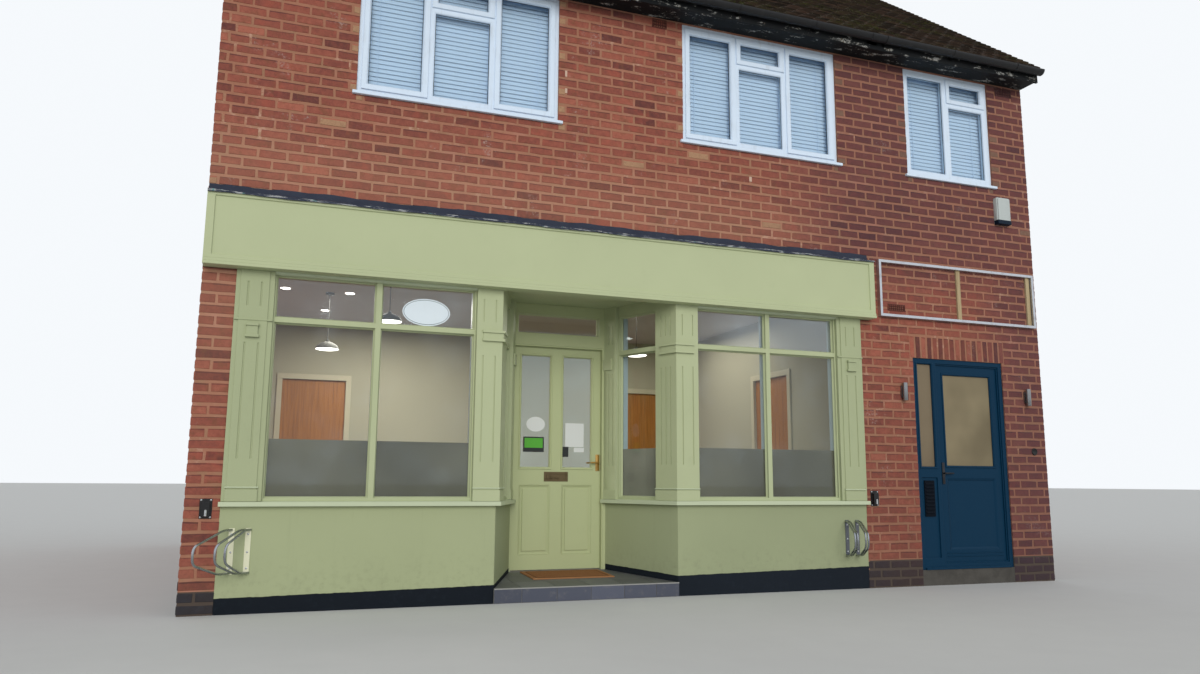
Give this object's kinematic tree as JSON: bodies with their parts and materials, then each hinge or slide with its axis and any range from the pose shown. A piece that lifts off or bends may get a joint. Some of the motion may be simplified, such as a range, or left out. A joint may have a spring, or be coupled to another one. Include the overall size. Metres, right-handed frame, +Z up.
{
  "type": "terraced shop building with flat above",
  "caption": "Brick shop unit of a terrace with a recessed green shopfront, a blue side door, white upper windows and a tiled gable-to-gable roof.",
  "frame": {"origin": "centre of the overall box at the lowest ground level", "axes": "+Z up, the street front faces -Y, +X to the right seen from the street"},
  "size_m": [8.5, 9.244, 9.5065],
  "materials": {
    "brickwork": "rough",
    "concrete": "rough",
    "floor_boards": "matt",
    "roof_tiles": "rough, mossy",
    "ridge_clay": "rough",
    "black_paint": "peeling paint",
    "rough_timber": "sawn",
    "plaster": "matt paint",
    "cream_gloss": "gloss paint",
    "oak": "varnished",
    "black_plastic": "satin",
    "green_render": "matt paint",
    "green_paint": "satin paint",
    "shop_glazing": "clear",
    "lead": "dull",
    "step_tiles": "matt",
    "coir": "coarse",
    "brass_fittings": "polished",
    "bronze_plate": "dull",
    "blue_plastic": "satin",
    "flat_glazing": "obscured",
    "steel_handle": "brushed",
    "white_plastic": "satin",
    "window_glazing": "clear",
    "blind_slats": "satin",
    "aluminium_tube": "brushed",
    "alarm_plastic": "satin",
    "light_steel": "brushed",
    "lock_steel": "worn",
    "rack_steel": "worn"
  },
  "bodies": {
    "building": {"ground_slab": "concrete", "party_walls": "brickwork", "front_piers": "brickwork", "flat_door_lintel": "brickwork", "front_wall_upper": "brickwork", "rear_wall_lower": "brickwork", "rear_wall_upper": "brickwork", "first_floor": "floor_boards", "loft_floor": "floor_boards", "inner_walls": "plaster", "roof_front": "roof_tiles", "roof_rear": "roof_tiles", "rafters": "rough_timber", "ridge_tiles": "ridge_clay", "eaves_boards": "black_paint", "gutters": "black_plastic", "downpipe": "black_plastic", "stall_risers": "green_render", "shop_sills": "green_paint", "outer_pilasters": "green_paint", "corner_pilasters": "green_paint", "door_pilasters": "green_paint", "shop_windows": "green_paint", "splay_windows": "green_paint", "shop_glass": "shop_glazing", "shop_fascia": "green_paint", "fascia_flashing": "lead", "recess_ceiling": "green_paint", "entrance_step": "step_tiles", "door_mat": "coir", "shop_door_frame": "green_paint", "flat_door_step": "concrete", "flat_door_frame": "blue_plastic", "window_frames": "white_plastic", "window_glass": "window_glazing", "window_sills": "white_plastic", "window_blinds": "blind_slats", "inner_door_frames": "cream_gloss", "inner_doors": "oak", "rear_door": "white_plastic", "sign_frame": "aluminium_tube", "alarm_box": "alarm_plastic", "wall_lights": "light_steel", "shutter_bolts": "lock_steel", "bike_racks": "rack_steel"},
    "shop_door_leaf": {"shop_door": "green_paint", "shop_door_glass": "shop_glazing", "shop_door_handle": "brass_fittings", "shop_door_hinges": "brass_fittings", "letter_plate": "bronze_plate"},
    "flat_door_leaf": {"flat_door": "blue_plastic", "flat_door_glass": "flat_glazing", "flat_door_handle": "steel_handle", "flat_door_hinges": "steel_handle"}
  },
  "joints": [
    {"name": "shop_door_hinge", "type": "hinge", "parent": "building", "child": "shop_door_leaf", "pos_m": [-1.4875, -3.2442, 1.25], "axis": [0, 0, 1], "range_deg": [0, 95]},
    {"name": "flat_door_hinge", "type": "hinge", "parent": "building", "child": "flat_door_leaf", "pos_m": [3.6625, -4.1622, 1.23], "axis": [0, 0, -1], "range_deg": [0, 90]}
  ]
}
